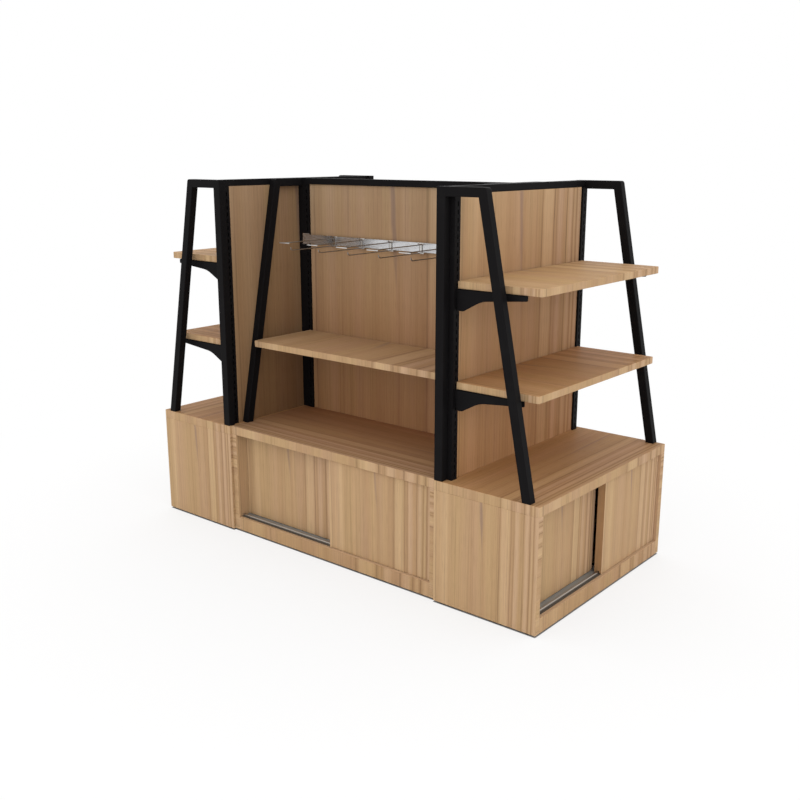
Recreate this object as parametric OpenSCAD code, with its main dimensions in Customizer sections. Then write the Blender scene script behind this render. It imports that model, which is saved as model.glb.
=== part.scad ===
// Island shop shelving: two middle cabinets back to back between two end cabinets, with steel
// A-shaped frames, slotted uprights, wood back panels, bracketed shelves and a hook bar on each side.
// The origin is on the floor under the middle. X runs along the island and -Y is the front.

/* [Island plan] */
// Width of the middle unit, along the island
mid_w = 1050; // [900:10:1400]
// Depth of the island from front to rear
island_d = 900; // [800:10:1200]
// Depth of an end unit, along the island
end_d = 420; // [400:5:600]
// How far the middle cabinets' fronts stand back from the end units' sides
mid_inset = 10; // [0:1:30]
// Height of the cabinets
cab_h = 450; // [350:5:600]

/* [Cabinet boards] */
// Thickness of the side boards
side_t = 25; // [18:1:30]
// Thickness of the top boards
top_t = 35; // [30:1:50]
// Thickness of the floor boards
floor_t = 25; // [16:1:30]
// Height of the floor boards' upper faces
base_h = 60; // [45:1:100]
// Thickness of the kick boards under the floor boards
kick_t = 25; // [16:1:30]
// Thickness of the cabinet backs
back_t = 16; // [8:1:20]
// Height of the glides under the side boards
glide_h = 6; // [2:0.5:8]
// Diameter of the glides
glide_d = 16; // [10:1:18]
// Distance of a glide's centre from the end of its board
glide_inset = 35; // [20:1:80]

/* [Sliding doors] */
// Thickness of a door
door_t = 28; // [20:1:30]
// Gap between the planes of the two doors
door_gap = 15; // [6:1:24]
// How far the outer door stands behind the cabinet's front edge
door_inset = 12; // [4:1:30]
// How far past the middle the closed outer door ends
door_meet = 8; // [-20:1:40]
// How far the closed inner door runs on behind the outer door
door_lap = 10; // [5:1:60]
// Gap between a door's edge and the side board where it stops
door_end_gap = 1; // [0.5:0.5:4]
// Height of the gap under and over a door
door_lift = 2; // [1:0.5:5]

/* [Door tracks] */
// Thickness of the track's metal
track_t = 2; // [1:0.5:3]
// Width of the rounded ridge that a door rides on
ridge_w = 8; // [5:0.5:10]
// Height of a ridge above its plate
ridge_h = 8; // [6:0.5:12]
// How far the lower plate runs past the ridges' middles
plate_edge = 12; // [8:1:20]
// Depth of the upper guide channels, let into the top board
guide_h = 14; // [8:1:18]
// Width of the tongue that runs in a guide channel
tongue_w = 8; // [4:0.5:10]
// Sideways clearance of a door on its ridge and in its channel
run_gap = 1; // [0.5:0.1:1.5]
// Clearance between a ridge and the groove that rides on it
ride_gap = 0.3; // [0.1:0.1:0.6]
// Clearance of the upper guide in its groove
guide_fit = 0.2; // [0:0.1:0.5]

/* [A-shaped frames] */
// Height of the frames above the cabinet tops
frame_h = 977; // [850:1:1200]
// Thickness of a frame's tube, across the frame
tube_t = 30; // [20:1:40]
// Width of an end frame's post
post_w = 34; // [24:1:44]
// Width of a middle frame's shared post
mid_post_w = 30; // [24:1:44]
// Width of a leg, measured level
leg_w = 33; // [24:1:44]
// Height of a frame's top bar
bar_h = 31; // [24:1:44]
// How far an end leg's foot stands behind the cabinet's front edge
foot_inset = 34; // [10:1:80]
// How far a middle leg's foot stands behind the cabinet's front edge
mid_foot_inset = 71; // [10:1:120]
// Length of an end frame's top, from the back of its post
top_reach = 189; // [140:1:260]
// Length of a middle frame's top, from the middle of its post
mid_top_reach = 172; // [120:1:240]
// Radius of the corner between a leg and its top bar
corner_r = 10; // [4:1:20]
// How far the middle frames stand out over the end units' tops
mid_over = 12; // [0:1:20]

/* [Slotted uprights] */
// Width of an upright
upright_w = 30; // [24:1:40]
// Distance of the end uprights' slotted faces from the end unit's back
upright_face = 52.5; // [46:0.5:70]
// Distance of the end uprights' and panels' backs from the end unit's back
upright_back = 12; // [12:0.5:20]
// Thickness of the uprights' walls
wall_t = 2; // [1.5:0.1:3]
// Distance between slots
slot_pitch = 25.8; // [22:0.1:27]
// Height of a slot
slot_h = 15; // [14:0.5:17]
// Width of a slot
slot_w = 5; // [4:0.1:8]
// Height of the lowest slot's middle above the upright's foot
slot_base = 19; // [12:1:30]
// How far the slots lie from the upright's middle, towards the shelf
slot_off = 2; // [0:0.5:4]

/* [Panels and rails] */
// How far a panel's face lies behind the slotted faces
panel_step = 7.5; // [4:0.5:12]
// Height of the rails over the panels
rail_h = 25; // [15:1:40]
// Thickness of the end rails
rail_t = 30; // [15:1:32]

/* [Shelves and brackets] */
// Depth of a shelf
shelf_d = 320; // [290:1:330]
// Thickness of a shelf
shelf_t = 25; // [16:1:30]
// Distance of a shelf's end from the outer face of the frame beside it
shelf_end = 50; // [49:1:55]
// Radius of a shelf's front corners
shelf_r = 12; // [2:1:30]
// Gap between a shelf's back edge and the uprights
shelf_gap = 0.5; // [0:0.1:2]
// Slot that holds the lower shelves, counted from the lowest
low_slot = 11; // [8:1:14]
// Slot that holds the end units' upper shelves
high_slot = 24; // [18:1:27]
// Length of a bracket
arm_l = 270; // [240:1:280]
// Height of a bracket's arm
arm_h = 21; // [16:1:26]
// Height of a bracket's root
root_h = 72; // [64:1:90]
// Length of a bracket's deep part, from its root
web_l = 131; // [100:1:160]
// Radius between a bracket's deep part and its arm
web_r = 270; // [100:5:300]
// Radius of a bracket's lower corner
tip_r = 10; // [6:1:14]
// Radius of the corners at a bracket's free end
end_r = 4; // [1:0.5:8]
// Thickness of a bracket's plate
plate_t = 3; // [2:0.1:3.4]
// Width of the flange that a shelf rests on
flange_w = 25; // [15:1:40]
// Thickness of that flange
flange_t = 2; // [1.5:0.1:4]
// Distance from the flange's upper face down to the middle of the slot that holds the bracket
hook_below = 14; // [12:1:18]

/* [Slot hooks] */
// Height of a hook's neck in its slot
neck_h = 7; // [5:0.5:8]
// How far a hook reaches down behind the wall
hook_drop = 5; // [3:0.5:6]
// Thickness of a hook's tail
hook_t = 3; // [2:0.5:5]
// Clearance between a hook's tail and the wall
hook_gap = 0.3; // [0.1:0.1:1]

/* [Hook bar] */
// Lower of the two slots that hold the hook bar, counted from the lowest
bar_slot = 27; // [24:1:28]
// Height of the bar
hang_h = 36; // [28:1:44]
// Thickness of the bar
hang_t = 4; // [3:0.5:8]
// Height of the bar's ends
hang_end_h = 45; // [44:1:60]
// Width of the bar's deeper ends
hang_end_w = 34; // [30:1:60]
// How far the bar's ends run past the uprights
hang_past = 6; // [0:1:12]

/* [Display hooks] */
// Number of hooks on a bar
hook_count = 5; // [1:1:7]
// Distance between hooks
hook_pitch = 151; // [100:1:160]
// How far the row of hooks is set off along its bar
hook_shift = -29; // [-40:1:40]
// Width of a hook's clip
clip_w = 14; // [8:1:24]
// Thickness of the clip's plate
clip_t = 2; // [1:0.1:2.5]
// Clearance of the clip on the bar
clip_fit = 0.3; // [0.1:0.1:0.6]
// How far the clip reaches down behind the bar
clip_back = 15; // [8:1:25]
// How far the clip reaches below the bar in front
clip_below = 4; // [0:1:10]
// Diameter of the wires
wire_d = 4; // [2.5:0.1:6]
// Reach of the upper wire from the slotted faces
upper_l = 285; // [200:1:320]
// Depth of the upper wire below the bar's upper edge
upper_drop = 6; // [4:1:10]
// Width of the crossbar on the upper wire
cross_w = 55; // [30:1:80]
// Reach of the lower wire from the slotted faces
lower_l = 251; // [160:1:280]
// Radius of the lower wire's turned-up end
turn_r = 10; // [6:1:16]
// Width of the clip's head and of the plate at the lower wire's root
heel_w = 28; // [14:1:40]
// Height of the clip's head in front of the bar
head_h = 7; // [4:0.5:12]
// Height of the plate at the lower wire's root
heel_h = 7; // [5:0.5:10]

/* [Hidden] */

// Overrun of a cut past the face that it opens
past = 1;
wood = "#b99a73";
steel = "#1e1e1f";
alu = "#a9abab";
bright = "#d5d7d8";
plastic = "#2a2a2a";

// Cabinets: depth of a middle one, and the heights between its boards
mid_d = island_d / 2 - mid_inset;
ceil_z = cab_h - top_t;
inner_h = ceil_z - base_h;

// Distances of the outer and inner doors' middles from the cabinet's front edge
outer_y = door_inset + door_t / 2;
inner_y = outer_y + door_t + door_gap;
ridge_top = base_h + track_t + ridge_h;
door_foot = base_h + track_t + door_lift;
door_head = ceil_z - door_lift;
tongue_top = ceil_z + guide_h - track_t - door_lift;
channel_w = tongue_w + 2 * run_gap;
guide_y = outer_y - channel_w / 2 - track_t;
guide_w = inner_y - outer_y + channel_w + 2 * track_t;

// Frames: a rack's width is measured over the outer faces of its two frames
end_rack = island_d;
mid_rack = mid_w + 2 * mid_over;
upright_h = frame_h - rail_h;
end_upright_t = upright_face - upright_back;
mid_face = mid_post_w / 2;
slot_x = tube_t + upright_w / 2 + slot_off;
slot_n = floor((upright_h - slot_base - slot_h) / slot_pitch) + 1;

// Height of a slot's middle above the cabinet top, and of a shelf's underside
function slot_z(i) = slot_base + i * slot_pitch;
function shelf_z(i) = slot_z(i) + hook_below;

// Hook bar: its middle is halfway between its two slots
hang_mid = (slot_z(bar_slot) + slot_z(bar_slot + 1)) / 2;
hang_top = hang_mid + hang_h / 2;
hang_l = mid_rack - 2 * tube_t + 2 * hang_past;
hang_clear = mid_rack - 2 * (tube_t + upright_w) - 2 * abs(hook_shift) - 2 * max(clip_w, heel_w);
hook_n = min(hook_count, floor(hang_clear / hook_pitch) + 1);

// Places for a cabinet that is drawn with its front edge on y = 0 and its depth towards +y
module cab_front() { translate([0, -mid_d, 0]) children(); }
module cab_rear() { rotate([0, 0, 180]) translate([0, -mid_d, 0]) children(); }
module cab_left() { rotate([0, 0, -90]) translate([0, -mid_w / 2 - end_d, 0]) children(); }
module cab_right() { rotate([0, 0, 90]) translate([0, -mid_w / 2 - end_d, 0]) children(); }

// Places for a rack that is drawn with its slotted faces on y = 0, facing -y, standing on z = 0
module rack_front() { translate([0, -mid_face, cab_h]) children(); }
module rack_rear() { rotate([0, 0, 180]) translate([0, -mid_face, cab_h]) children(); }
module rack_left() { rotate([0, 0, -90]) translate([0, -mid_w / 2 - upright_face, cab_h]) children(); }
module rack_right() { rotate([0, 0, 90]) translate([0, -mid_w / 2 - upright_face, cab_h]) children(); }

// Both hands of what is drawn for the rack's or cabinet's +x end
module both_ends() {
  children();
  mirror([1, 0, 0]) children();
}

// Upright plate: a profile of reach against height, thickened towards -x, reaching towards -y
module plate(t) { rotate([0, 0, -90]) rotate([90, 0, 0]) linear_extrude(t) children(); }

// Bar along x of length l, with a profile of y against z
module bar_along(l) { translate([-l / 2, 0, 0]) rotate([90, 0, 90]) linear_extrude(l) children(); }

// Cabinet top, with the groove for the upper guide in its underside
module cab_top(w, d) {
  difference() {
    translate([-w / 2, 0, ceil_z]) cube([w, d, top_t]);
    translate([side_t - w / 2, guide_y - guide_fit, ceil_z - past])
      cube([w - 2 * side_t, guide_w + 2 * guide_fit, guide_h + past]);
  }
}

// Side boards, from the glides to the underside of the top
module cab_sides(w, d) {
  both_ends() translate([w / 2 - side_t, 0, glide_h]) cube([side_t, d, ceil_z - glide_h]);
}

// Floor board with a kick board under its front and rear edges
module cab_base(w, d) {
  bar_along(w - 2 * side_t) difference() {
    translate([0, glide_h]) square([d, base_h - glide_h]);
    translate([kick_t, glide_h - past]) square([d - 2 * kick_t, base_h - floor_t - glide_h + past]);
  }
}

// Back board, standing on the floor board
module cab_back(w, d) {
  translate([side_t - w / 2, d - back_t, base_h]) cube([w - 2 * side_t, back_t, inner_h]);
}

// One rounded ridge of the lower track
module ridge_profile(y) {
  translate([y - ridge_w / 2, base_h + track_t / 2])
    square([ridge_w, ridge_top - ridge_w / 2 - base_h - track_t / 2]);
  translate([y, ridge_top - ridge_w / 2]) circle(d = ridge_w, $fn = 32);
}

// Lower plate with its two ridges, and the upper guide with its two channels
module cab_tracks(w) {
  bar_along(w - 2 * side_t) {
    translate([outer_y - plate_edge, base_h]) square([inner_y - outer_y + 2 * plate_edge, track_t]);
    ridge_profile(outer_y);
    ridge_profile(inner_y);
  }
  bar_along(w - 2 * side_t) difference() {
    translate([guide_y, ceil_z]) square([guide_w, guide_h]);
    for (y = [outer_y, inner_y])
      translate([y - channel_w / 2, ceil_z - past]) square([channel_w, guide_h - track_t + past]);
    translate([outer_y + channel_w / 2 + track_t, ceil_z - past])
      square([inner_y - outer_y - channel_w - 2 * track_t, guide_h - track_t + past]);
  }
}

// Door between x0 and x1, with its groove on the ridge at y and its tongue in the channel above
module cab_door(x0, x1, y) {
  translate([(x0 + x1) / 2, 0, 0]) bar_along(x1 - x0) difference() {
    union() {
      translate([y - door_t / 2, door_foot]) square([door_t, door_head - door_foot]);
      translate([y - tongue_w / 2, door_head - past]) square([tongue_w, tongue_top - door_head + past]);
    }
    translate([y - ridge_w / 2 - run_gap, door_foot - past])
      square([ridge_w + 2 * run_gap, ridge_top + ride_gap - door_foot + past]);
  }
}

// The outer door closes against the right-hand side board, the inner door against the left-hand one
module cab_door_outer(w) { cab_door(door_meet, w / 2 - side_t - door_end_gap, outer_y); }
module cab_door_inner(w) { cab_door(side_t + door_end_gap - w / 2, door_meet + door_lap, inner_y); }

// Two glides under each side board
module cab_glides(w, d) {
  both_ends() for (y = [glide_inset, d - glide_inset])
    translate([w / 2 - side_t / 2, y, 0]) cylinder(d = glide_d, h = glide_h, $fn = 32);
}

// Half of an A-shaped frame: post from 0 to post, leg from foot on the floor to reach at the top
module frame_half(post, foot, reach) {
  lean = (foot - reach) / frame_h;
  slant = sqrt(1 + lean * lean);
  corner_y = frame_h - corner_r;
  corner_x = foot - lean * corner_y - corner_r * slant;
  leg_in = foot - leg_w;
  open_h = frame_h - bar_h;
  difference() {
    union() {
      polygon([[0, 0], [foot, 0], [corner_x + corner_r / slant, corner_y + corner_r * lean / slant],
               [corner_x, corner_y], [corner_x, frame_h], [0, frame_h]]);
      translate([corner_x, corner_y]) circle(corner_r, $fn = 48);
    }
    polygon([[post, -past], [leg_in + lean * past, -past], [leg_in - lean * open_h, open_h],
             [post, open_h]]);
  }
}

// End frame: flush with the end of the rack, its post at the end unit's back
module end_frame() {
  translate([end_rack / 2, upright_face, 0]) plate(tube_t)
    frame_half(post_w, end_d - foot_inset, top_reach);
}

// Middle frame: one post with a leg to the front and one to the rear
module mid_frame() {
  translate([mid_rack / 2, mid_face, 0]) plate(tube_t) {
    frame_half(mid_post_w / 2, mid_d - mid_foot_inset, mid_top_reach);
    mirror([1, 0]) frame_half(mid_post_w / 2, mid_d - mid_foot_inset, mid_top_reach);
  }
}

// Slotted upright beside a frame: a tube of depth t with slots through one or both faces
module upright(rack, t, faces) {
  translate([rack / 2 - tube_t - upright_w, 0, 0]) difference() {
    cube([upright_w, t, upright_h]);
    translate([wall_t, wall_t, -past])
      cube([upright_w - 2 * wall_t, t - 2 * wall_t, upright_h + 2 * past]);
    for (i = [0 : slot_n - 1], face = faces)
      translate([upright_w / 2 - slot_off - slot_w / 2, face * (t - wall_t) - past,
                 slot_z(i) - slot_h / 2])
        cube([slot_w, wall_t + 2 * past, slot_h]);
  }
}

// Back panel between a rack's uprights, from y0 on
module panel(rack, t) {
  w = rack - 2 * (tube_t + upright_w);
  translate([-w / 2, panel_step, 0]) cube([w, t, upright_h]);
}

// Rail over a rack's uprights and panel, between its frames
module rail(rack, y0, t) {
  l = rack - 2 * tube_t;
  translate([-l / 2, y0, upright_h]) cube([l, t, rail_h]);
}

// Shelf with its underside at height z, its front corners rounded
module shelf(rack, z) {
  l = rack - 2 * shelf_end;
  translate([-l / 2, -shelf_gap - shelf_d, z]) linear_extrude(shelf_t) {
    translate([shelf_r, 0]) square([l - 2 * shelf_r, shelf_d]);
    translate([0, shelf_r]) square([l, shelf_d - shelf_r]);
    for (x = [shelf_r, l - shelf_r])
      translate([x, shelf_r]) circle(shelf_r, $fn = 48);
  }
}

// Profile of two hooks that drop into neighbouring slots, the upper slot's middle at height z
module slot_hooks(z) {
  tail = wall_t + hook_gap + hook_t;
  for (i = [0, 1]) translate([-tail, z - i * slot_pitch - slot_h / 2]) {
    translate([0, -hook_drop]) square([hook_t, hook_drop + neck_h]);
    square([tail + past, neck_h]);
  }
}

// Profile of a bracket: an arm under z = 0 that deepens towards its root. The sloped
// edge touches the rounded lower corner, and an arc of radius web_r leads it into the arm.
module bracket_profile() {
  run = web_l - tip_r;
  rise = root_h - tip_r - arm_h;
  a = atan2(rise, run) + asin(tip_r / sqrt(run * run + rise * rise));
  blend = web_r * tan(a / 2);
  steps = 12;
  arc = [for (i = [0 : steps]) let(b = a * (1 - i / steps))
           [web_l + blend - web_r * sin(b), -arm_h - web_r * (1 - cos(b))]];
  polygon(concat([[0, 0], [0, tip_r - root_h], [tip_r, tip_r - root_h],
                  [tip_r + tip_r * sin(a), tip_r - root_h - tip_r * cos(a)]],
                 arc, [[arm_l - end_r, -arm_h], [arm_l, end_r - arm_h], [arm_l, -end_r],
                       [arm_l - end_r, 0]]));
  for (h = [end_r, arm_h - end_r])
    translate([arm_l - end_r, -h]) circle(end_r, $fn = 48);
  translate([tip_r, tip_r - root_h]) circle(tip_r, $fn = 48);
}

// Bracket at the +x end of a rack, for a shelf whose underside is at height z
module bracket(rack, z) {
  translate([rack / 2 - slot_x + plate_t / 2, 0, z]) {
    plate(plate_t) {
      bracket_profile();
      slot_hooks(-hook_below);
    }
    translate([-flange_w, end_r - arm_l, -flange_t])
      cube([flange_w, arm_l - end_r, flange_t]);
  }
}

// Flat bar with deeper ends, hooked into two slots of each upright
module hook_bar() {
  half = hang_l / 2;
  neck = half - hang_end_w;
  step = (hang_end_h - hang_h) / 2;
  translate([0, 0, hang_mid]) rotate([90, 0, 0]) linear_extrude(hang_t) {
    translate([-half, -hang_h / 2]) square([2 * half, hang_h]);
    both_ends() polygon([[half, -hang_end_h / 2], [half, hang_end_h / 2], [neck, hang_end_h / 2],
                         [neck - step, hang_h / 2], [neck - step, -hang_h / 2],
                         [neck, -hang_end_h / 2]]);
  }
  both_ends() translate([mid_rack / 2 - slot_x + plate_t / 2, 0, 0]) plate(plate_t)
    slot_hooks(slot_z(bar_slot + 1));
}

// Display hook: a clip with a wide head over the bar, a straight upper wire with a crossbar, and
// a lower wire that turns up at its end
module display_hook() {
  front = -hang_t - clip_fit - clip_t;
  cap = hang_top + clip_fit + clip_t;
  foot = hang_mid - hang_h / 2 - clip_below;
  upper_z = hang_top - upper_drop;
  lower_z = foot + heel_h / 2;
  bar_along(clip_w) translate([front, foot]) square([clip_t, cap - foot]);
  bar_along(heel_w) {
    translate([front, foot]) square([clip_t, heel_h]);
    translate([front, cap - head_h]) square([clip_t, head_h]);
    translate([front, cap - clip_t]) square([clip_fit + clip_t - front, clip_t]);
    translate([clip_fit, hang_top - clip_back]) square([clip_t, cap - hang_top + clip_back]);
  }
  translate([0, -upper_l, upper_z]) {
    rotate([-90, 0, 0]) cylinder(d = wire_d, h = upper_l + front + clip_t / 2, $fn = 24);
    rotate([0, 90, 0]) cylinder(d = wire_d, h = cross_w, center = true, $fn = 24);
  }
  translate([0, turn_r - lower_l, lower_z]) {
    rotate([-90, 0, 0]) cylinder(d = wire_d, h = lower_l - turn_r + front + clip_t / 2, $fn = 24);
    translate([0, 0, turn_r]) rotate([0, 90, 180])
      rotate_extrude(angle = 90, $fn = 48) translate([turn_r, 0]) circle(d = wire_d, $fn = 24);
  }
}

module display_hooks() {
  for (i = [0 : hook_n - 1])
    translate([hook_shift + (i - (hook_n - 1) / 2) * hook_pitch, 0, 0]) display_hook();
}

// Front cabinet
module front_top() { color(wood) cab_front() cab_top(mid_w, mid_d); }
module front_sides() { color(wood) cab_front() cab_sides(mid_w, mid_d); }
module front_base() { color(wood) cab_front() cab_base(mid_w, mid_d); }
module front_back() { color(wood) cab_front() cab_back(mid_w, mid_d); }
module front_tracks() { color(alu) cab_front() cab_tracks(mid_w); }
module front_door_outer() { color(wood) cab_front() cab_door_outer(mid_w); }
module front_door_inner() { color(wood) cab_front() cab_door_inner(mid_w); }

// Rear cabinet
module rear_top() { color(wood) cab_rear() cab_top(mid_w, mid_d); }
module rear_sides() { color(wood) cab_rear() cab_sides(mid_w, mid_d); }
module rear_base() { color(wood) cab_rear() cab_base(mid_w, mid_d); }
module rear_back() { color(wood) cab_rear() cab_back(mid_w, mid_d); }
module rear_tracks() { color(alu) cab_rear() cab_tracks(mid_w); }
module rear_door_outer() { color(wood) cab_rear() cab_door_outer(mid_w); }
module rear_door_inner() { color(wood) cab_rear() cab_door_inner(mid_w); }

// Left end cabinet
module left_top() { color(wood) cab_left() cab_top(island_d, end_d); }
module left_sides() { color(wood) cab_left() cab_sides(island_d, end_d); }
module left_base() { color(wood) cab_left() cab_base(island_d, end_d); }
module left_back() { color(wood) cab_left() cab_back(island_d, end_d); }
module left_tracks() { color(alu) cab_left() cab_tracks(island_d); }
module left_door_outer() { color(wood) cab_left() cab_door_outer(island_d); }
module left_door_inner() { color(wood) cab_left() cab_door_inner(island_d); }

// Right end cabinet
module right_top() { color(wood) cab_right() cab_top(island_d, end_d); }
module right_sides() { color(wood) cab_right() cab_sides(island_d, end_d); }
module right_base() { color(wood) cab_right() cab_base(island_d, end_d); }
module right_back() { color(wood) cab_right() cab_back(island_d, end_d); }
module right_tracks() { color(alu) cab_right() cab_tracks(island_d); }
module right_door_outer() { color(wood) cab_right() cab_door_outer(island_d); }
module right_door_inner() { color(wood) cab_right() cab_door_inner(island_d); }

// Frames. An end rack's +x end is at the rear on the right and at the front on the left.
module left_frame_front() { color(steel) rack_left() end_frame(); }
module left_frame_rear() { color(steel) rack_left() mirror([1, 0, 0]) end_frame(); }
module right_frame_front() { color(steel) rack_right() mirror([1, 0, 0]) end_frame(); }
module right_frame_rear() { color(steel) rack_right() end_frame(); }
module mid_frame_left() { color(steel) rack_front() mirror([1, 0, 0]) mid_frame(); }
module mid_frame_right() { color(steel) rack_front() mid_frame(); }

// Uprights, rails and panels
module left_uprights() { color(steel) rack_left() both_ends() upright(end_rack, end_upright_t, [0, 1]); }
module right_uprights() { color(steel) rack_right() both_ends() upright(end_rack, end_upright_t, [0, 1]); }
module mid_uprights() { color(steel) rack_front() both_ends() upright(mid_rack, mid_post_w, [0, 1]); }
module left_rail() { color(steel) rack_left() rail(end_rack, end_upright_t - rail_t, rail_t); }
module right_rail() { color(steel) rack_right() rail(end_rack, end_upright_t - rail_t, rail_t); }
module mid_rail() { color(steel) rack_front() rail(mid_rack, 0, mid_post_w); }
module left_panel() { color(wood) rack_left() panel(end_rack, end_upright_t - panel_step); }
module right_panel() { color(wood) rack_right() panel(end_rack, end_upright_t - panel_step); }
module mid_panel() { color(wood) rack_front() panel(mid_rack, mid_post_w - 2 * panel_step); }

// Shelves and their brackets
module left_shelf_low() { color(wood) rack_left() shelf(end_rack, shelf_z(low_slot)); }
module left_shelf_high() { color(wood) rack_left() shelf(end_rack, shelf_z(high_slot)); }
module right_shelf_low() { color(wood) rack_right() shelf(end_rack, shelf_z(low_slot)); }
module right_shelf_high() { color(wood) rack_right() shelf(end_rack, shelf_z(high_slot)); }
module front_shelf() { color(wood) rack_front() shelf(mid_rack, shelf_z(low_slot)); }
module rear_shelf() { color(wood) rack_rear() shelf(mid_rack, shelf_z(low_slot)); }
module end_brackets() {
  for (i = [low_slot, high_slot]) both_ends() bracket(end_rack, shelf_z(i));
}
module left_brackets() { color(steel) rack_left() end_brackets(); }
module right_brackets() { color(steel) rack_right() end_brackets(); }
module mid_brackets() {
  color(steel) {
    rack_front() both_ends() bracket(mid_rack, shelf_z(low_slot));
    rack_rear() both_ends() bracket(mid_rack, shelf_z(low_slot));
  }
}

// Hook bars and display hooks
module front_hook_bar() { color(bright) rack_front() hook_bar(); }
module rear_hook_bar() { color(bright) rack_rear() hook_bar(); }
module front_hooks() { color(bright) rack_front() display_hooks(); }
module rear_hooks() { color(bright) rack_rear() display_hooks(); }

// Glides under all four cabinets
module glides() {
  color(plastic) {
    cab_front() cab_glides(mid_w, mid_d);
    cab_rear() cab_glides(mid_w, mid_d);
    cab_left() cab_glides(island_d, end_d);
    cab_right() cab_glides(island_d, end_d);
  }
}

front_top();
front_sides();
front_base();
front_back();
front_tracks();
front_door_outer();
front_door_inner();
rear_top();
rear_sides();
rear_base();
rear_back();
rear_tracks();
rear_door_outer();
rear_door_inner();
left_top();
left_sides();
left_base();
left_back();
left_tracks();
left_door_outer();
left_door_inner();
right_top();
right_sides();
right_base();
right_back();
right_tracks();
right_door_outer();
right_door_inner();
left_frame_front();
left_frame_rear();
right_frame_front();
right_frame_rear();
mid_frame_left();
mid_frame_right();
left_uprights();
right_uprights();
mid_uprights();
left_rail();
right_rail();
mid_rail();
left_panel();
right_panel();
mid_panel();
left_shelf_low();
left_shelf_high();
right_shelf_low();
right_shelf_high();
front_shelf();
rear_shelf();
left_brackets();
right_brackets();
mid_brackets();
front_hook_bar();
rear_hook_bar();
front_hooks();
rear_hooks();
glides();
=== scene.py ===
import math
import bpy
import numpy as np
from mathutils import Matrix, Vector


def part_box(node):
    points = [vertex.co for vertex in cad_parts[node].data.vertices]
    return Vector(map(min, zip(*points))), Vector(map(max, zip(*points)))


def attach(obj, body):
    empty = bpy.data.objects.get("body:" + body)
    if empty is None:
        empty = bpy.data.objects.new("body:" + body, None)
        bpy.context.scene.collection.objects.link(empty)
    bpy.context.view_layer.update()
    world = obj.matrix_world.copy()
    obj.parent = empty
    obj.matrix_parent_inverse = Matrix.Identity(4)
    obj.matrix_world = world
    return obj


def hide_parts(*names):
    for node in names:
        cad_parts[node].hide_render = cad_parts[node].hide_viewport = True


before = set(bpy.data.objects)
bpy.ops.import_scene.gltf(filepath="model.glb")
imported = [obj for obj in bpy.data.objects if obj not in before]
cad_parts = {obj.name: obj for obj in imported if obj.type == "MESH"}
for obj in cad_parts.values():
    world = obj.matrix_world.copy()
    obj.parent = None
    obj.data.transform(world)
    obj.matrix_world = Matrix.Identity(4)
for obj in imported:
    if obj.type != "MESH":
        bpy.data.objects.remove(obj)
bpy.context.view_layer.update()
print("frame loaded:", len(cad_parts), "nodes")

# camera
cameraSet = dict(place=(2.4507, -2.9494, 1.5333), tilt=75.72, turn=39.70, lens=43.97, sensor=36.0)
cameraData = bpy.data.cameras.new("shopCamera")
cameraData.lens, cameraData.sensor_width = cameraSet["lens"], cameraSet["sensor"]
camera = bpy.data.objects.new("shopCamera", cameraData)
camera.location = cameraSet["place"]
camera.rotation_euler = (math.radians(cameraSet["tilt"]), 0, math.radians(cameraSet["turn"]))
bpy.context.scene.collection.objects.link(camera)
bpy.context.scene.camera = camera
bpy.context.scene.view_settings.view_transform = "Standard"


# shader helpers
def tone(red, green, blue):
    # screen colour 0-255 to the linear colour that a shader socket wants
    c = np.array([red, green, blue]) / 255
    return tuple(np.where(c <= 0.04045, c / 12.92, ((c + 0.055) / 1.055) ** 2.4)) + (1.0,)


class Out:
    # one output of a node; arithmetic on it adds Math nodes, with the number on either side
    def __init__(self, shade, socket):
        self.shade, self.socket = shade, socket

    def combine(self, operation, first, second):
        return self.shade.add("Math", dict(operation=operation), {0: first, 1: second})

    def __add__(self, other):
        return self.combine("ADD", self, other)

    def __radd__(self, other):
        return self.combine("ADD", other, self)

    def __sub__(self, other):
        return self.combine("SUBTRACT", self, other)

    def __rsub__(self, other):
        return self.combine("SUBTRACT", other, self)

    def __mul__(self, other):
        return self.combine("MULTIPLY", self, other)

    def __rmul__(self, other):
        return self.combine("MULTIPLY", other, self)

    def __truediv__(self, other):
        return self.combine("DIVIDE", self, other)

    def below(self, other):
        return self.combine("LESS_THAN", self, other)


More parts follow.
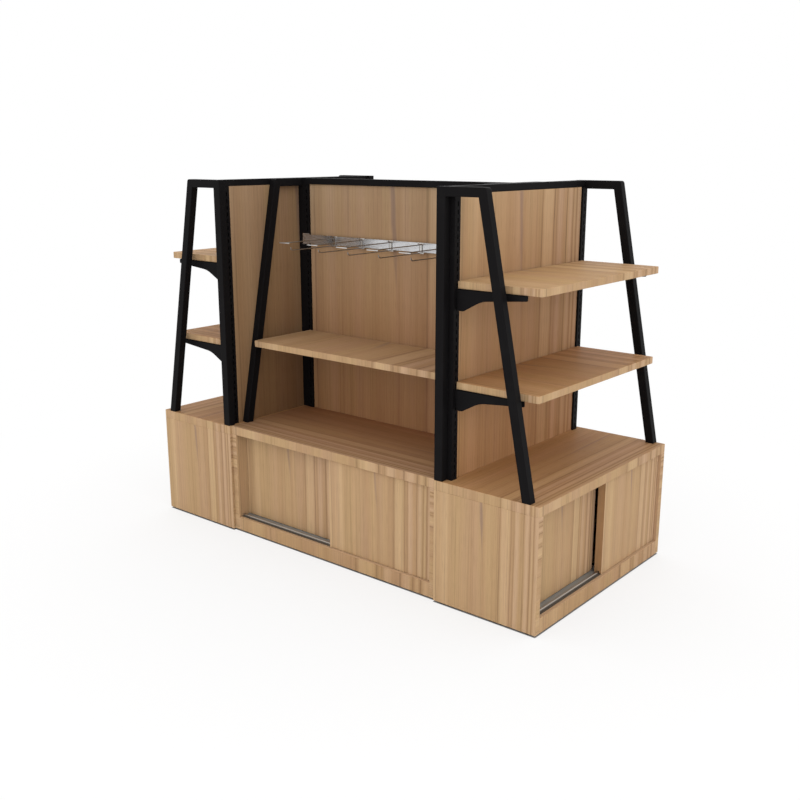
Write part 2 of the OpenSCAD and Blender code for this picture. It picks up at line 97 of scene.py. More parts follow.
class Shade:
    # a material's or the world's node tree; add() makes any node, its settings before its sockets
    def __init__(self, tree):
        self.tree = tree
        self.tree.nodes.clear()

    def add(self, kind, settings=None, sockets=None, out=0):
        node = self.tree.nodes.new("ShaderNode" + kind)
        for name, value in (settings or {}).items():
            if name == "stops":
                self.setStops(node.color_ramp, value)
            else:
                setattr(node, name, value)
        for name, value in (sockets or {}).items():
            if isinstance(value, Out):
                self.tree.links.new(value.socket, node.inputs[name])
            else:
                node.inputs[name].default_value = value
        return Out(self, node.outputs[out]) if len(node.outputs) else node

    def setStops(self, ramp, stops):
        while len(ramp.elements) > 1:
            ramp.elements.remove(ramp.elements[-1])
        ramp.elements[0].position, ramp.elements[0].color = stops[0]
        for place, colour in stops[1:]:
            ramp.elements.new(place).color = colour

    def ramp(self, place, stops):
        return self.add("ValToRGB", dict(stops=stops), {"Fac": place}, "Color")

    def axis(self, vector, letter):
        return self.add("SeparateXYZ", None, {0: vector}, letter)

    def vector(self, operation, first, second=(0, 0, 0), out="Vector"):
        return self.add("VectorMath", dict(operation=operation), {0: first, 1: second}, out)

    def noise(self, place, scale, detail, roughness, **settings):
        # cloudy values round 0.5
        sockets = {"Vector": place, "Scale": scale, "Detail": detail, "Roughness": roughness}
        return self.add("TexNoise", settings, sockets, "Fac")

    def blend(self, factor, first, second, mode="MIX"):
        # two colours through a Mix node; its colour sockets are 6 and 7, its colour output is 2
        return self.add("Mix", dict(data_type="RGBA", blend_type=mode), {0: factor, 6: first, 7: second}, 2)

    def squeeze(self, value, low, high):
        # 0 below low, 1 above high, a smooth step between; low above high turns it round
        return self.add("MapRange", dict(interpolation_type="SMOOTHSTEP"),
                        {"Value": value, "From Min": low, "From Max": high})

    def seen(self):
        # 1 for what the camera sees, in a mirror and through glass too, and 0 for light between surfaces
        camera, mirror, glass = (self.add("LightPath", out="Is %s Ray" % ray)
                                 for ray in ("Camera", "Glossy", "Transmission"))
        return self.add("Math", dict(operation="MINIMUM"), {0: camera + mirror + glass, 1: 1.0})

    def skin(self, colour, rough, relief, height, others=None):
        # a Principled surface on the material's output; relief is the strength and distance of its bump
        bump = self.add("Bump", None, {"Strength": relief[0], "Distance": relief[1], "Height": height})
        sockets = {"Base Color": colour, "Roughness": rough, "Normal": bump, **(others or {})}
        self.add("OutputMaterial", None, {"Surface": self.add("BsdfPrincipled", None, sockets)})


def newMaterial(name):
    material = bpy.data.materials.new(name)
    material.use_nodes = True
    return material, Shade(material.node_tree)


# floor, white surroundings and lamps
stageSet = dict(floorSize=60.0, floorTone=0.82, paintedShadowUnder=0.6, shadowShare=0.30, clearFrom=1.5, clearTo=2.6,
                worldLight=1.28, lampAim=(0, 0, 0.6))


def stagePaper():
    # plain white paper: camera, mirror and glass rays see mostly white that keeps the shadow near the unit,
    # and all of it under the cabinets, where the paper's colour is also darkened as a painted shadow
    material, shade = newMaterial("stagePaper")
    place = shade.add("TexCoord", out="Object")
    distance = shade.vector("LENGTH", place, out="Value")
    near = shade.squeeze(distance, stageSet["clearTo"], stageSet["clearFrom"])
    offCentre = shade.vector("ABSOLUTE", place)
    x, y = shade.axis(offCentre, "X"), shade.axis(offCentre, "Y")
    # under the cabinets: the box of the end units less the strips in front of the middle ones
    endHigh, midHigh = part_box("right_sides")[1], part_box("rear_sides")[1]
    strips = x.below(midHigh[0]) * (y.below(endHigh[1]) - y.below(midHigh[1]))
    under = x.below(endHigh[0]) * y.below(endHigh[1]) - strips
    # painted shadow: the paper's own colour is darker under the cabinets
    grey = stageSet["floorTone"] * (1 - under * stageSet["paintedShadowUnder"])
    colour = shade.add("CombineXYZ", None, {0: grey, 1: grey, 2: grey})
    paint = shade.add("BsdfDiffuse", None, {"Color": colour})
    white = shade.add("Emission", None, {"Color": (1, 1, 1, 1), "Strength": 1.0})
    factor = shade.seen() * (1 - near * stageSet["shadowShare"]) * (1 - under)
    mixed = shade.add("MixShader", None, {0: factor, 1: paint, 2: white})
    shade.add("OutputMaterial", None, {"Surface": mixed})
    return material


def makeFloor():
    half = stageSet["floorSize"] / 2
    mesh = bpy.data.meshes.new("floorPaper")
    corners = [(-half, -half, 0), (half, -half, 0), (half, half, 0), (-half, half, 0)]
    mesh.from_pydata(corners, [], [(0, 1, 2, 3)])
    mesh.materials.append(stagePaper())
    floor = bpy.data.objects.new("floorPaper", mesh)
    bpy.context.scene.collection.objects.link(floor)


def makeWorld():
    # white to the camera, and a little more than white as light on the unit
    world = bpy.data.worlds.new("whiteRoom")
    world.use_nodes = True
    shade = Shade(world.node_tree)
    strength = shade.seen() * (1 - stageSet["worldLight"]) + stageSet["worldLight"]
    white = shade.add("Background", None, {"Color": (1, 1, 1, 1), "Strength": strength})
    shade.add("OutputWorld", None, {"Surface": white})
    bpy.context.scene.world = world


# each lamp: direction it comes from (azimuth from the front towards +X, elevation), distance, size, watts
lampSet = dict(
    key=dict(azimuth=70, elevation=28, distance=5.0, size=3.2, watts=10),
    fill=dict(azimuth=10, elevation=30, distance=5.5, size=3.0, watts=6),
)


def makeLamps():
    for name, lamp in lampSet.items():
        a, e = math.radians(lamp["azimuth"]), math.radians(lamp["elevation"])
        away = np.array([math.sin(a) * math.cos(e), -math.cos(a) * math.cos(e), math.sin(e)])
        data = bpy.data.lights.new(name + "Lamp", "AREA")
        data.shape, data.size, data.energy = "DISK", lamp["size"], lamp["watts"]
        place = bpy.data.objects.new(name + "Lamp", data)
        place.location = stageSet["lampAim"] + away * lamp["distance"]
        place.rotation_euler = (math.pi / 2 - e, 0, a)
        bpy.context.scene.collection.objects.link(place)


makeFloor()
makeWorld()
makeLamps()
print("camera, stage and lamps made")


# finishes
# In each dictionary a noise is (scale, detail, roughness), relief is the strength and distance of the bump,
# and a pair named Limits is where a noise starts to show and where it shows in full.
# Striped beech laminate: tones are screen colours; a stripe's stop is its place across the board and its
# tone, and the colour blends from one stop to the next; a seam is (place, depth); a figure is a noise drawn
# out along the grain, (scale across, scale along, detail, roughness); a zone is (start, full, share).
woodSet = dict(
    tones=dict(pale=(191, 159, 122), rosy=(190, 157, 125), plain=(182, 149, 112), dull=(175, 141, 106),
               blush=(184, 149, 121), straw=(181, 152, 108), fleck=(138, 114, 104)),
    # the pale tone at the start of the stripes, along the board's first edge, is a painted highlight of that
    # edge
    stripes=[(0.010, "pale"), (0.046, "plain"), (0.110, "pale"), (0.130, "pale"), (0.158, "plain"),
             (0.330, "plain"), (0.385, "dull"), (0.455, "plain"), (0.482, "plain"), (0.500, "dull"),
             (0.530, "plain"), (0.560, "plain"), (0.630, "dull"), (0.659, "dull"), (0.670, "pale"),
             (0.733, "pale"), (0.747, "dull"), (0.784, "dull"), (0.797, "rosy"), (0.815, "rosy"),
             (0.838, "dull"), (0.874, "dull"), (0.888, "rosy"), (0.906, "rosy"), (0.920, "dull"),
             (0.934, "dull"), (0.944, "pale"), (0.952, "dull"), (0.964, "dull"), (0.976, "rosy")],
    seams=[(0.027, 0.90), (0.187, 0.35), (0.226, 0.40), (0.651, 1.00), (0.754, 0.80), (0.779, 0.60),
           (0.867, 1.00), (0.926, 0.70), (0.959, 1.00)],
    seamWidth=0.0060, seamLeast=0.35, seamSwing=1.3,
    figures=dict(drift=(7, 2.4, 2.0, 0.5), wander=(30, 7, 1.0, 0.5), fade=(9, 3.1, 1.0, 0.5),
                 zone=(14, 0.9, 1.0, 0.5), streak=(55, 1.3, 3.0, 0.5), thread=(150, 1.6, 2.0, 0.5),
                 grain=(330, 5.5, 3.0, 0.6), hair=(230, 1.1, 2.0, 0.5), pore=(620, 16, 1.0, 0.5)),
    wobble=dict(drift=0.013, wander=0.0039), hairLimits=(0.54, 0.72), poreLimits=(0.60, 0.74),
    zones=dict(blush=(0.52, 0.72, 0.30), straw=(0.48, 0.30, 0.24)),
    fleck=dict(place=0.470, top=0.95, lean=0.06, riseLimits=(0.40, 0.88), width=0.016, least=0.25, ragged=0.9,
               edgeLimits=(1.0, 0.1), share=0.58),
    depth=dict(streak=0.13, thread=0.17, grain=0.16, hair=0.13, pore=0.12, seam=0.34),
    gain=(0.945, 0.950, 0.945), roughness=0.54, grainRough=0.20, poreRough=0.12,
    height=dict(grain=0.6, pore=0.8, streak=0.3), relief=(0.22, 0.0004), shine=0.06)


def woodLaminate():
    w, f, depth, high = woodSet, woodSet["fleck"], woodSet["depth"], woodSet["height"]
    material, shade = newMaterial("beechLaminate")
    plank = shade.add("UVMap", dict(uv_map="plank"), out="UV")
    metre = shade.add("UVMap", dict(uv_map="metre"), out="UV")
    across, along = shade.axis(plank, "X"), shade.axis(plank, "Y")

    def figure(name):
        # noise drawn out along the grain: its points are scaled across and along before they are read
        acrossScale, alongScale, detail, roughness = w["figures"][name]
        place = shade.vector("MULTIPLY", metre, (acrossScale, alongScale, 1))
        return shade.noise(place, 1.0, detail, roughness, noise_dimensions="2D")

    wander = figure("wander")
    place = across + (figure("drift") - 0.5) * w["wobble"]["drift"] + (wander - 0.5) * w["wobble"]["wander"]
    tones = {name: tone(*screen) for name, screen in w["tones"].items()}
    colour = shade.ramp(place, [(stop, tones[name]) for stop, name in w["stripes"]])
    # thin dark seams, each a peak in a second ramp, that fade in and out along the board
    wide = w["seamWidth"]
    peaks = [(p + d, (deep * (d == 0),) * 3 + (1,)) for p, deep in w["seams"] for d in (-wide, 0, wide)]
    seam = shade.ramp(place, peaks) * (w["seamLeast"] + w["seamSwing"] * figure("fade"))
    # warm and yellow zones some centimetres wide, as between one stave and the next
    zone = figure("zone")
    for name, (start, full, share) in w["zones"].items():
        colour = shade.blend(shade.squeeze(zone, start, full) * share, colour, tones[name])
    # the grey-purple fleck high on each board, leaning and thinning downwards
    middle = f["place"] + (f["top"] - along) * f["lean"]
    offset = shade.add("Math", dict(operation="ABSOLUTE"), {0: place - middle})
    rise = shade.squeeze(along, *f["riseLimits"])
    offset = offset / (f["width"] * (f["least"] + rise)) + (wander - 0.5) * f["ragged"]
    fleck = shade.squeeze(offset, *f["edgeLimits"]) * rise * f["share"]
    colour = shade.blend(fleck, colour, tones["fleck"])
    # brightness: broad streaks, threads between them, fine grain lines, dark hair lines and short dark pores
    streak, thread, grain = figure("streak"), figure("thread"), figure("grain")
    hair = shade.squeeze(figure("hair"), *w["hairLimits"])
    pores = shade.squeeze(figure("pore"), *w["poreLimits"])
    light = 1 + (streak - 0.5) * depth["streak"] + (thread - 0.5) * depth["thread"]
    light = (light + (grain - 0.5) * depth["grain"]) * (1 - pores * depth["pore"])
    light = light * (1 - seam * depth["seam"]) * (1 - hair * depth["hair"])
    red, green, blue = w["gain"]
    tint = shade.add("CombineXYZ", None, {0: light * red, 1: light * green, 2: light * blue})
    colour = shade.blend(1.0, colour, tint, "MULTIPLY")
    # painted shade: the faces of the bays are multiplied by a darker colour, warm where it stands in for
    # painted bounce light
    bay = shade.add("Attribute", dict(attribute_name="tint"), out="Color")
    colour = shade.blend(1.0, colour, bay, "MULTIPLY")
    rough = w["roughness"] + (grain - 0.5) * w["grainRough"] + pores * w["poreRough"]
    height = grain * high["grain"] - pores * high["pore"] + streak * high["streak"]
    shade.skin(colour, rough, w["relief"], height, {"Specular IOR Level": w["shine"]})
    return material


# colours from here on are linear
steelSet = dict(colour=(0.0070, 0.0064, 0.0068, 1), worn=(0.0125, 0.0118, 0.0120, 1), peel=(1300, 2.0, 0.5),
                cloud=(9.0, 4.0, 0.6), rubLimits=(0.50, 0.78), rubShare=0.45, peelShare=0.10, roughness=0.46,
                cloudRough=0.22, peelRough=0.10, relief=(0.16, 0.0003), shine=0.035)


def powderCoat():
    # satin black powder coat: fine orange-peel bump, faint cloudy dust, slightly paler where hands rub it
    s = steelSet
    material, shade = newMaterial("blackPowderCoat")
    place = shade.add("TexCoord", out="Object")
    peel, cloud = shade.noise(place, *s["peel"]), shade.noise(place, *s["cloud"])
    share = shade.squeeze(cloud, *s["rubLimits"]) * s["rubShare"] + peel * s["peelShare"]
    colour = shade.blend(share, s["colour"], s["worn"])
    rough = s["roughness"] + (cloud - 0.5) * s["cloudRough"] + (peel - 0.5) * s["peelRough"]
    shade.skin(colour, rough, s["relief"], peel, {"Specular IOR Level": s["shine"]})
    return material


# plateTop and ridgeTop are heights over the floor, lines are the scales across and along the run
# bright and dull are the ridges' colours, painted brighter as a highlight; plate is painted darker as shade,
# and the colour after it is a painted shadow line along the plate's outer edge
trackSet = dict(bright=(0.46, 0.415, 0.365, 1), dull=(0.34, 0.305, 0.265, 1), plate=(0.27, 0.266, 0.25, 1),
                lipShadow=(0.085, 0.068, 0.052, 1), lipShadowWide=0.009, lipShadowSoft=0.001, plateTop=0.0615, ridgeTop=0.0690,
                uneven=0.002, lines=(900, 3), fine=(1.0, 2.0, 0.5), cloud=(14.0, 3.0, 0.5),
                cloudLimits=(0.35, 0.80), cloudShare=0.55, lineShare=0.25, plateMetal=0.25, roughness=0.34,
                plateRough=0.35, lineRough=0.18, cloudRough=0.16, relief=(0.10, 0.0002))


def drawnAluminium(name, run, reach):
    # extruded track: fine lines along its run (0 along X, 1 along Y), dulled in patches by handling. The
    # lower plate is matt and painted darker as shade, its lip in front of the outer ridge carries a painted
    # shadow line, and the ridges are smoother, more metallic and painted brighter as a highlight; reach is
    # the lip's edge from the middle of the island
    t = trackSet
    material, shade = newMaterial(name)
    place = shade.add("TexCoord", out="Object")
    scale = [t["lines"][0]] * 3
    scale[run] = t["lines"][1]
    lines = shade.noise(shade.vector("MULTIPLY", place, scale), *t["fine"])
    cloud = shade.noise(place, *t["cloud"])
    height = shade.axis(place, "Z") + (cloud - 0.5) * t["uneven"]
    # 1 on the ridges, 0 on the plate: it paints the highlight on the ridges and the shade on the plate
    onRidge = shade.squeeze(height, t["plateTop"], t["ridgeTop"])
    share = shade.squeeze(cloud, *t["cloudLimits"]) * t["cloudShare"] + lines * t["lineShare"]
    ridge = shade.blend(share, t["bright"], t["dull"])
    outward, lipShadowFrom = shade.axis(shade.vector("ABSOLUTE", place), "YX"[run]), reach - t["lipShadowWide"]
    # painted shadow line along the plate's outer edge, in front of the outer ridge
    plate = shade.blend(shade.squeeze(outward, lipShadowFrom, lipShadowFrom + t["lipShadowSoft"]), t["plate"], t["lipShadow"])
    colour = shade.blend(onRidge, plate, ridge)
    metal = t["plateMetal"] + onRidge * (1 - t["plateMetal"])
    rough = t["roughness"] + (1 - onRidge) * t["plateRough"] + (lines - 0.5) * t["lineRough"]
    rough = rough + (cloud - 0.5) * t["cloudRough"]
    shade.skin(colour, rough, t["relief"], lines, {"Metallic": metal})
    return material


chromeSet = dict(
    bar=dict(colour=(0.60, 0.60, 0.61, 1), smeared=(0.46, 0.45, 0.455, 1), metal=0.84, roughness=0.20),
    wire=dict(colour=(0.64, 0.62, 0.60, 1), smeared=(0.48, 0.46, 0.44, 1), metal=1.0, roughness=0.30),
    dull=dict(colour=(0.30, 0.285, 0.27, 1), smeared=(0.21, 0.20, 0.19, 1), metal=1.0, roughness=0.34),
    smear=(36.0, 4.0, 0.6), fine=(700.0, 1.0, 0.5), smearLimits=(0.45, 0.75), smearShare=0.5, smearRough=0.16,
    fineRough=0.05, relief=(0.05, 0.0002))


def brightPlate(kind):
    # plated steel: near mirror, with soft finger smears; kind is bar, wire or dull
    c, finish = chromeSet, chromeSet[kind]
    material, shade = newMaterial(kind + "Plate")
    place = shade.add("TexCoord", out="Object")
    smear, fine = shade.noise(place, *c["smear"]), shade.noise(place, *c["fine"])
    share = shade.squeeze(smear, *c["smearLimits"]) * c["smearShare"]
    colour = shade.blend(share, finish["colour"], finish["smeared"])
    rough = finish["roughness"] + (smear - 0.5) * c["smearRough"] + (fine - 0.5) * c["fineRough"]
    shade.skin(colour, rough, c["relief"], fine, {"Metallic": finish["metal"]})
    return material


plasticSet = dict(colour=(0.022, 0.022, 0.023, 1), scuffed=(0.060, 0.058, 0.055, 1), grit=(1800.0, 2.0, 0.5),
                  scuff=(120.0, 3.0, 0.5), scuffLimits=(0.45, 0.70), scuffShare=0.5, roughness=0.58,
                  gritRough=0.2, relief=(0.25, 0.0002))


def footPlastic():
    # matt moulded plastic of the glides, scuffed paler in patches
    p = plasticSet
    material, shade = newMaterial("footPlastic")
    place = shade.add("TexCoord", out="Object")
    grit, scuff = shade.noise(place, *p["grit"]), shade.noise(place, *p["scuff"])
    share = shade.squeeze(scuff, *p["scuffLimits"]) * p["scuffShare"]
    colour = shade.blend(share, p["colour"], p["scuffed"])
    shade.skin(colour, p["roughness"] + grit * p["gritRough"], p["relief"], grit)
    return material


wood, blackSteel, plastic = woodLaminate(), powderCoat(), footPlastic()
barPlate, wirePlate, dullPlate = (brightPlate(kind) for kind in ("bar", "wire", "dull"))
track = dict(front=drawnAluminium("trackAlongX", 0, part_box("rear_tracks")[1][1]),
             left=drawnAluminium("trackAlongY", 1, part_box("right_tracks")[1][0]))
track["rear"], track["right"] = track["front"], track["left"]
print("finishes made")


# shapes
# A part is (points, faces, smooth flags). Local frames are those of a unit seen from its own front: x to the
# right, y away from the viewer, z up; turnedBack() takes points to their side of the island.
cornerRoom = 1.1  # a corner's radius over the ease beside it, so that the drawn-in outline keeps its corner


def roundRect(a0, a1, b0, b1, radius, steps=4):
    # four corner arcs, counter-clockwise: centre + radius*(cos t, sin t), t running a quarter turn per corner
    t = np.arange(4)[:, None] * math.pi / 2 + np.linspace(0, math.pi / 2, steps + 1)
    centreA = np.array([a1 - radius, a0 + radius, a0 + radius, a1 - radius])[:, None]
    centreB = np.array([b1 - radius, b1 - radius, b0 + radius, b0 + radius])[:, None]
    return np.stack([centreA + radius * np.cos(t), centreB + radius * np.sin(t)], -1).reshape(-1, 2)


def roundCorners(points, radii, steps=4):
    # each corner of a closed polygon becomes an arc that touches both sides: with unit arms d0, d1 and the
    # angle q between them the centre is corner + (d0 + d1)/|d0 + d1| * r/sin(q/2), and the arc turns through
    # pi - q
    p, r = np.array(points, float), np.broadcast_to(np.array(radii, float), len(points))[:, None]
    d0 = np.roll(p, 1, 0) - p
    d1 = np.roll(p, -1, 0) - p
    d0 /= np.linalg.norm(d0, axis=1, keepdims=True)
    d1 /= np.linalg.norm(d1, axis=1, keepdims=True)
    q = np.arccos(np.clip((d0 * d1).sum(1, keepdims=True), -1, 1))
    middle = d0 + d1
    centre = p + middle / np.linalg.norm(middle, axis=1, keepdims=True) * r / np.sin(q / 2)
    first, last = p + d0 * r / np.tan(q / 2) - centre, p + d1 * r / np.tan(q / 2) - centre
    k = np.linspace(0, 1, steps + 1)[None, :, None]
    turn = (math.pi - q)[:, :, None]
    arc = (np.sin((1 - k) * turn) * first[:, None] + np.sin(k * turn) * last[:, None]) / np.sin(turn)
    return (centre[:, None] + arc).reshape(-1, 2)


def counterClockwise(outline):
    # turned round where twice its area, the sum of x*next y - y*next x over its points, is negative
    x, y = outline.T
    return outline if (x * np.roll(y, -1) - y * np.roll(x, -1)).sum() > 0 else outline[::-1]


def unitAlong(path):
    # direction of a path at each of its points
    along = np.gradient(path, axis=0)
    return along / np.linalg.norm(along, axis=1, keepdims=True)


def ribbon(path, half):
    # closed outline of a bent strip: the path moved half a thickness to each side along its normals
    along = unitAlong(path)
    side = np.stack([along[:, 1], -along[:, 0]], 1) * half
    return counterClockwise(np.concatenate([path + side, (path - side)[::-1]]))


def gridQuads(around, rows):
    # faces between rows of points that close round on themselves, and the row and place of each face
    i, j = np.meshgrid(np.arange(around), np.arange(rows - 1))
    after = (i + 1) % around
    corners = [j * around + i, j * around + after, (j + 1) * around + after, (j + 1) * around + i]
    caps = [np.arange(around)[::-1].tolist(), ((rows - 1) * around + np.arange(around)).tolist()]
    return caps + np.stack(corners, -1).reshape(-1, 4).tolist(), i, j


def carry(outline, low, high, ease, axis, steps=4, rows=3):
    # a closed outline carried along an axis from low to high. At each end row k stands at t = k/rows quarter
    # turns: the outline is drawn in along its normals by ease*(1 - sin t), ease*(1 - cos t) from the end.
    # The outline's corners are arcs of so many steps, and only the flats between them aren't shaded smooth
    outline = counterClockwise(np.asarray(outline, float))
    edge = np.roll(outline, -1, 0) - outline
    out = np.stack([edge[:, 1], -edge[:, 0]], 1) / np.linalg.norm(edge, axis=1, keepdims=True)
    before = np.roll(out, 1, 0)
    normal = (out + before) / (1 + (out * before).sum(1, keepdims=True))
    t = np.linspace(0, math.pi / 2, rows + 1)
    inset = ease * (1 - np.sin(t))
    step = ease * (1 - np.cos(t))
    inset = np.concatenate([inset, inset[::-1]])
    place = np.concatenate([low + step, high - step[::-1]])
    flat = outline[None] - normal[None] * inset[:, None, None]
    points = np.zeros((len(place), len(outline), 3))
    points[..., (axis + 1) % 3], points[..., (axis + 2) % 3] = flat[..., 0], flat[..., 1]
    points[..., axis] = place[:, None]
    faces, i, j = gridQuads(len(outline), len(place))
    smooth = (j != rows) | (i % (steps + 1) != steps)
    return points.reshape(-1, 3), faces, [False, False] + smooth.ravel().tolist()


def board(low, high, axis, ease):
    # a plain board between two corners, thin along axis, with all its edges eased
    a, b = (axis + 1) % 3, (axis + 2) % 3
    outline = roundRect(low[a], high[a], low[b], high[b], ease * cornerRoom)
    return carry(outline, low[axis], high[axis], ease, axis)


def wire(x, y, z, radius, across, sides=12, rows=4, closeTo=0.97):
    # a tube round the path (x, y, z) whose binormal is across: ring = point + radius*(cos t * across +
    # sin t * normal), and round ends: at turn s, up to closeTo of a quarter, the ring shrinks to
    # radius*cos s and stands radius*sin s beyond the path
    path, across = np.stack(np.broadcast_arrays(x, y, z), 1).astype(float), np.array(across, float)
    along = unitAlong(path)
    s = np.linspace(0, math.pi / 2, rows + 1)[1:] * closeTo
    start = path[0] - along[0] * radius * np.sin(s[::-1, None])
    end = path[-1] + along[-1] * radius * np.sin(s[:, None])
    centre = np.concatenate([start, path, end])
    along = np.concatenate([np.repeat(along[:1], rows, 0), along, np.repeat(along[-1:], rows, 0)])
    width = radius * np.concatenate([np.cos(s[::-1]), np.ones(len(path)), np.cos(s)])[:, None, None]
    t = np.linspace(0, 2 * math.pi, sides, endpoint=False)[None, :, None]
    points = centre[:, None] + width * (np.cos(t) * across + np.sin(t) * np.cross(along, across)[:, None])
    faces = gridQuads(sides, len(centre))[0]
    return points.reshape(-1, 3), faces, [True] * len(faces)


def turnedBack(side, points):
    # local front frame to the island's frame, by quarter turns about z
    x, y, z = np.moveaxis(np.asarray(points, float), -1, 0)
    return np.stack(dict(front=(x, y, z), rear=(-x, -y, z), left=(y, -x, z), right=(-y, x, z))[side], -1)


def nodeBox(node):
    return tuple(np.array(corner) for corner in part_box(node))


def localBox(node, side):
    # a node's box in its side's local frame
    back = dict(front="front", rear="rear", left="right", right="left")[side]
    ends = turnedBack(back, np.stack(nodeBox(node)))
    return ends.min(0), ends.max(0)


def meshOf(name, parts):
    # joins parts into one mesh; also gives the part number of each face
    shifts = np.cumsum([0] + [len(part[0]) for part in parts])[:-1]
    faces = [(np.array(face) + shift).tolist() for part, shift in zip(parts, shifts) for face in part[1]]
    mesh = bpy.data.meshes.new(name)
    mesh.from_pydata(np.concatenate([part[0] for part in parts]).tolist(), [], faces)
    mesh.polygons.foreach_set("use_smooth", np.concatenate([part[2] for part in parts]))
    return mesh, np.repeat(np.arange(len(parts)), [len(part[1]) for part in parts])


def readMesh(mesh):
    # points, face normals, how many corners each face has, and each corner's point number
    points, normal = np.empty(len(mesh.vertices) * 3), np.empty(len(mesh.polygons) * 3)
    total, corner = np.empty(len(mesh.polygons), int), np.empty(len(mesh.loops), int)
    mesh.vertices.foreach_get("co", points)
    mesh.polygons.foreach_get("normal", normal)
    mesh.polygons.foreach_get("loop_total", total)
    mesh.loops.foreach_get("vertex_index", corner)
    return points.reshape(-1, 3), normal.reshape(-1, 3), total, corner


# edges with long stripes read a narrow band of the board's stripes, and every edge reads one height of it;
# spread is how far apart the boards may lie in the figure
mapSet = dict(bandFrom=0.05, bandWide=0.08, margin=0.002, edgeRise=0.3, spread=20)


def mapWood(mesh, owner, thick, grain, ends, seed):
    # Two UV layers. plank: place across and along the board, 0 to 1. metre: the same in metres, shifted for
    # each board. Broad faces (facing along thick) run their stripes along grain; edge faces run them across
    # the thickness, as the laminate's edge band does, or along the edge where ends is "long". Across always
    # grows to the right as the face is seen: right = up x normal, and to the front edge on level faces.
    coords, normal, total, corner = readMesh(mesh)
    face = np.repeat(np.arange(len(total)), total)
    point, part = coords[corner], owner[face]
    low = np.full((owner.max() + 1, 3), np.inf)
    high = -low
    np.minimum.at(low, part, point)
    np.maximum.at(high, part, point)
    facing = np.abs(normal).argmax(1)[face]
    sign = np.sign(np.take_along_axis(normal[face], facing[:, None], 1)[:, 0])
    broad = facing == thick
    other = 3 - thick - facing
    u = np.where(broad, 3 - thick - grain, thick if ends == "long" else other)
    v = np.where(broad, grain, other if ends == "long" else thick)
    heading = np.select([u == 2, facing == 0, facing == 1, u == 1], [1, sign, -sign, -1], 1)

    def take(values, axis):
        return np.take_along_axis(values, axis[:, None], 1)[:, 0]

    size = high - low
    share = (take(point, u) - take(low[part], u)) / take(size[part], u)
    share = np.where(heading > 0, share, 1 - share)
    if ends == "long":
        share = np.where(broad, share, mapSet["bandFrom"] + take(point, u) % mapSet["bandWide"])
    rise = (take(point, v) - take(low[part], v)) / take(size[part], v)
    shift = np.random.default_rng(seed).uniform(0, mapSet["spread"], (owner.max() + 1, 2))[part]
    share = np.clip(share, mapSet["margin"], 1 - mapSet["margin"])
    plank = np.stack([share, np.where(broad, rise, mapSet["edgeRise"])], 1)
    metre = np.stack([take(point, u) * heading, take(point, v)], 1) + shift
    mesh.uv_layers.new(name="plank").data.foreach_set("uv", plank.ravel())
    mesh.uv_layers.new(name="metre").data.foreach_set("uv", metre.ravel())


def makePiece(name, mesh, side, material, body, slot, *nodes):
    # turns the mesh to its side, gives it its finish and its body, and hides the plain solids it stands for
    mesh.vertices.foreach_set("co", turnedBack(side, readMesh(mesh)[0]).ravel())
    mesh.update()
    mesh.materials.append(material)
    piece = bpy.data.objects.new(name, mesh)
    bpy.context.scene.collection.objects.link(piece)
    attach(piece, body)
    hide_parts(*nodes)


# painted shade of the bays, warm in places as painted bounce light, and darker kick fronts and door ends;
# a colour pair each: at the front edge and the back edge of a face that looks up, at the foot and the head
# of one that stands
baySet = dict(
    midTop=dict(up=((0.80, 0.74, 0.71), (0.83, 0.60, 0.51))),
    endTop=dict(up=((0.850, 0.765, 0.680), (0.94, 0.76, 0.60))),
    shelfHigh=dict(up=((0.98, 0.935, 0.855), (0.97, 0.93, 0.845))),
    shelfLow=dict(up=((0.89, 0.765, 0.645), (0.90, 0.73, 0.585))),
    midShelf=dict(up=((0.86, 0.81, 0.80), (0.84, 0.78, 0.75))),
    midPanel=dict(front=((0.825, 0.66, 0.565), (0.765, 0.78, 0.835)),
                  back=((0.825, 0.66, 0.565), (0.765, 0.78, 0.835))),
    endPanel=dict(front=((0.915, 0.75, 0.635), (0.93, 0.91, 0.91)),
                  back=((0.58, 0.505, 0.455), (0.675, 0.665, 0.67))),
    kick=dict(front=((0.95, 0.925, 0.89), (0.95, 0.925, 0.89))),
    door=dict(ends=((0.80, 0.71, 0.63), (0.80, 0.71, 0.63))),
    plain=dict())
squarely = 0.7  # part of a face's normal that has to look a way for the face to take that way's tone


def paintShadeOnFaces(mesh, tones):
    # writes the painted shade that the laminate of each face is multiplied by; faces that look up, to the
    # front (-y), to the back and to the ends can have one
    points, normal, total, corner = readMesh(mesh)
    low, high = points.min(0), points.max(0)
    place = ((points - low) / (high - low))[corner]
    inward, upward = place[:, 1:2], place[:, 2:3]
    x, y, z = np.repeat(normal, total, 0).T
    ways = dict(up=(z > squarely, inward), front=(y < -squarely, upward), back=(y > squarely, upward),
                ends=(np.abs(x) > squarely, upward))
    colour = np.ones((len(corner), 4))
    for way, (first, last) in tones.items():
        test, share = ways[way]
        colour[test, :3] = (first + (np.array(last) - first) * share)[test]
    mesh.attributes.new("tint", "FLOAT_COLOR", "CORNER").data.foreach_set("color", colour.ravel())


def dressWood(name, mesh, owner, side, thick, grain, node, body="island", ends="cross", bay="plain",
              word=None):
    # word is the name whose letters seed the board's place in the figure
    mapWood(mesh, owner, thick, grain, ends, sum(map(ord, word or name)))
    paintShadeOnFaces(mesh, baySet[bay])
    makePiece(name, mesh, side, wood, body, "wood_laminate", node)


def woodPiece(name, parts, *others, **choices):
    # the others and the choices are those of dressWood
    dressWood(name, *meshOf(name, parts), *others, **choices)


def steelPiece(name, parts, side, node):
    makePiece(name, meshOf(name, parts)[0], side, blackSteel, "island", "black_steel", node)


# cabinets
cabinetSet = dict(sideThick=0.025, guideInset=0.005, groovePlay=0.0002, cutterBelow=0.01, kick=0.025,
                  floorThick=0.025, ease=0.0012, baseCorner=0.0009, baseEase=0.0008)


